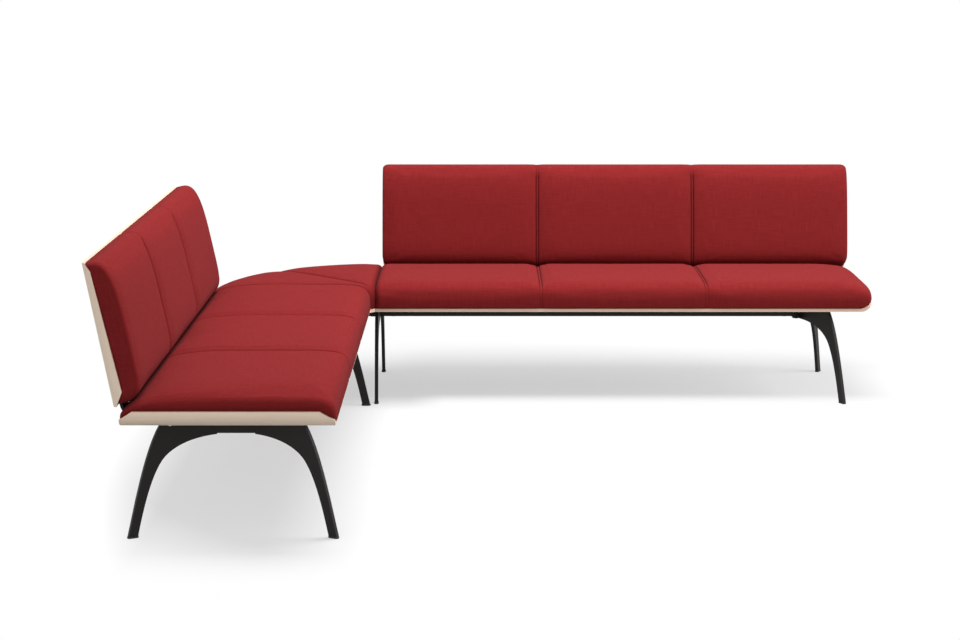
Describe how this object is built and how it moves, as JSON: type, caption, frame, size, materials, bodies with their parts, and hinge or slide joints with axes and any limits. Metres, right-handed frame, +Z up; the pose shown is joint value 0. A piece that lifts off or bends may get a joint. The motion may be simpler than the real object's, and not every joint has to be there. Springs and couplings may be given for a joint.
{
  "type": "modular corner bench",
  "caption": "L-shaped upholstered bench with a quarter-round corner seat: moulded plywood shells, channelled red cushions, and a dark steel beam on curved, splayed legs.",
  "frame": {"origin": "centre of the whole bench's bounding box, on the floor", "axes": "+Z up; +X along the right bench towards its free end; -Y along the left bench towards its free end; sitters on the right bench face -Y and those on the left bench face +X"},
  "size_m": [2.5128, 2.5128, 0.8083],
  "materials": {
    "upholstery": "matt woven wool cloth",
    "plywood": "clear satin lacquer on pale plywood",
    "frame": "fine matt powder coat",
    "fasteners": "zinc plated",
    "glides": "moulded"
  },
  "bodies": {
    "root": {"left_seat_shell": "plywood", "left_back_shell": "plywood", "left_seat_cushion": "upholstery", "left_back_cushion": "upholstery", "left_beam": "frame", "left_end_block": "frame", "left_end_leg_front": "frame", "left_end_leg_rear": "frame", "left_joint_block": "frame", "left_joint_leg_front": "frame", "left_joint_leg_rear": "frame", "left_outer_bracket": "frame", "left_middle_bracket": "frame", "left_inner_bracket": "frame", "left_outer_cross_bar": "frame", "left_middle_cross_bar": "frame", "left_inner_cross_bar": "frame", "left_bracket_plates": "frame", "left_glides": "glides", "left_shell_screws": "fasteners", "left_bracket_bolts": "fasteners", "left_leg_bolts": "fasteners", "left_beam_bolts": "fasteners", "left_bar_bolts": "fasteners", "right_seat_shell": "plywood", "right_back_shell": "plywood", "right_seat_cushion": "upholstery", "right_back_cushion": "upholstery", "right_beam": "frame", "right_end_block": "frame", "right_end_leg_front": "frame", "right_end_leg_rear": "frame", "right_joint_block": "frame", "right_joint_leg_front": "frame", "right_joint_leg_rear": "frame", "right_outer_bracket": "frame", "right_middle_bracket": "frame", "right_inner_bracket": "frame", "right_outer_cross_bar": "frame", "right_middle_cross_bar": "frame", "right_inner_cross_bar": "frame", "right_bracket_plates": "frame", "right_glides": "glides", "right_shell_screws": "fasteners", "right_bracket_bolts": "fasteners", "right_leg_bolts": "fasteners", "right_beam_bolts": "fasteners", "right_bar_bolts": "fasteners", "corner_seat_shell": "plywood", "corner_seat_cushion": "upholstery", "corner_beam_left": "frame", "corner_beam_right": "frame", "corner_cross_bar": "frame", "corner_screws": "fasteners", "corner_beam_bolts": "fasteners", "corner_bar_bolts": "fasteners"}
  },
  "joints": []
}
